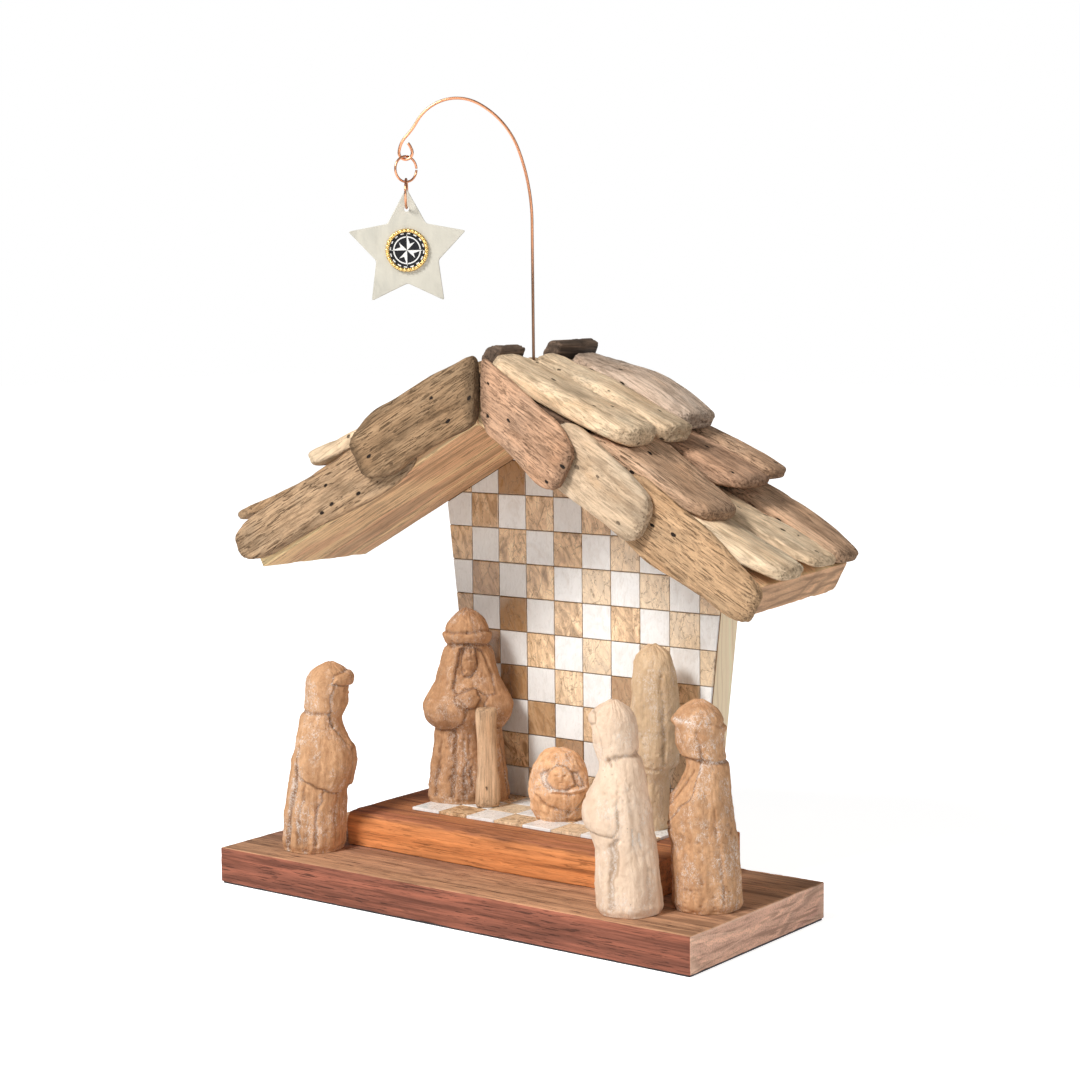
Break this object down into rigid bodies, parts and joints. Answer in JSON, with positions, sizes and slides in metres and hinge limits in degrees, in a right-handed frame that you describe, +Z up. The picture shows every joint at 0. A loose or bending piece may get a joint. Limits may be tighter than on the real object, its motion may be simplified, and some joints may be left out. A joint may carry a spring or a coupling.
{
  "type": "wooden nativity stable",
  "caption": "Driftwood stable with a tiled wall, carved wooden figures on a stepped base and a star hanging from a curved wire over the roof.",
  "frame": {"origin": "middle of the base's underside, where the felt rests on the table", "axes": "+X to the right along the base, +Y from the open front to the back board, +Z up"},
  "size_m": [0.3767, 0.1502, 0.4431],
  "materials": {
    "red_plank": "rough sawn, faded",
    "felt": "matt",
    "orange_plank": "rough, worn edge",
    "pine": "planed, bare",
    "screw_brass": "satin",
    "pearl_shell": "polished, pearly",
    "amber_shell": "polished, veined",
    "roof_board": "rough, bare",
    "dark_driftwood": "weathered",
    "driftwood": "weathered, pitted",
    "pink_driftwood": "weathered, speckled",
    "pale_driftwood": "weathered, smooth",
    "copper_wire": "tarnished copper",
    "star_wood": "washed with white paint",
    "gold_rim": "polished",
    "medallion": "glossy",
    "carved_wood": "carved, with traces of white wash"
  },
  "bodies": {
    "stable": {"base_plank": "red_plank", "base_felt": "felt", "step_plank": "orange_plank", "back_board": "pine", "board_screws": "screw_brass", "wall_tiles_pearl": "pearl_shell", "wall_tiles_amber": "amber_shell", "floor_tiles_pearl": "pearl_shell", "floor_tiles_amber": "amber_shell", "roof_board_left": "roof_board", "roof_board_right": "roof_board", "ridge_strip_left": "dark_driftwood", "ridge_strip_right": "dark_driftwood", "ridge_chip_front": "dark_driftwood", "ridge_chip_back": "dark_driftwood", "gable_drift_left_upper": "dark_driftwood", "gable_drift_left_lower": "driftwood", "gable_drift_right_upper": "pink_driftwood", "gable_drift_right_middle": "driftwood", "gable_drift_right_lower": "driftwood", "drift_right_low_1": "driftwood", "drift_right_low_2": "driftwood", "drift_right_low_3": "pink_driftwood", "drift_right_mid_1": "pink_driftwood", "drift_right_mid_2": "driftwood", "drift_right_mid_3": "pink_driftwood", "drift_right_top_1": "pale_driftwood", "drift_right_top_2": "pale_driftwood", "drift_right_top_3": "driftwood", "drift_left_low_1": "driftwood", "drift_left_low_2": "pink_driftwood", "drift_left_low_3": "pale_driftwood", "drift_left_mid_1": "pale_driftwood", "drift_left_mid_2": "driftwood", "drift_left_mid_3": "pink_driftwood", "drift_left_top_1": "driftwood", "drift_left_top_2": "pale_driftwood", "drift_left_top_3": "driftwood", "star_wire": "copper_wire", "joseph": "carved_wood", "joseph_staff": "pale_driftwood", "mary": "carved_wood", "child": "carved_wood", "wise_left": "carved_wood", "wise_front": "carved_wood", "wise_right": "carved_wood"},
    "ring": {"wire_ring": "copper_wire"},
    "link": {"star_link": "copper_wire"},
    "star": {"star": "star_wood", "star_rim": "gold_rim", "star_medallion": "medallion"}
  },
  "joints": [
    {"name": "ring_swing", "type": "hinge", "parent": "stable", "child": "ring", "pos_m": [-0.0565, -0.0141, 0.4107], "axis": [0.866, 0.5, 0], "range_deg": [-18, 18]},
    {"name": "link_swing", "type": "hinge", "parent": "ring", "child": "link", "pos_m": [-0.0565, -0.0141, 0.3984], "axis": [0.2588, 0.9659, 0], "range_deg": [-20, 20]},
    {"name": "star_swing", "type": "hinge", "parent": "link", "child": "star", "pos_m": [-0.0565, -0.0141, 0.3833], "axis": [-0.6018, 0.7986, 0], "range_deg": [-22, 22]}
  ]
}
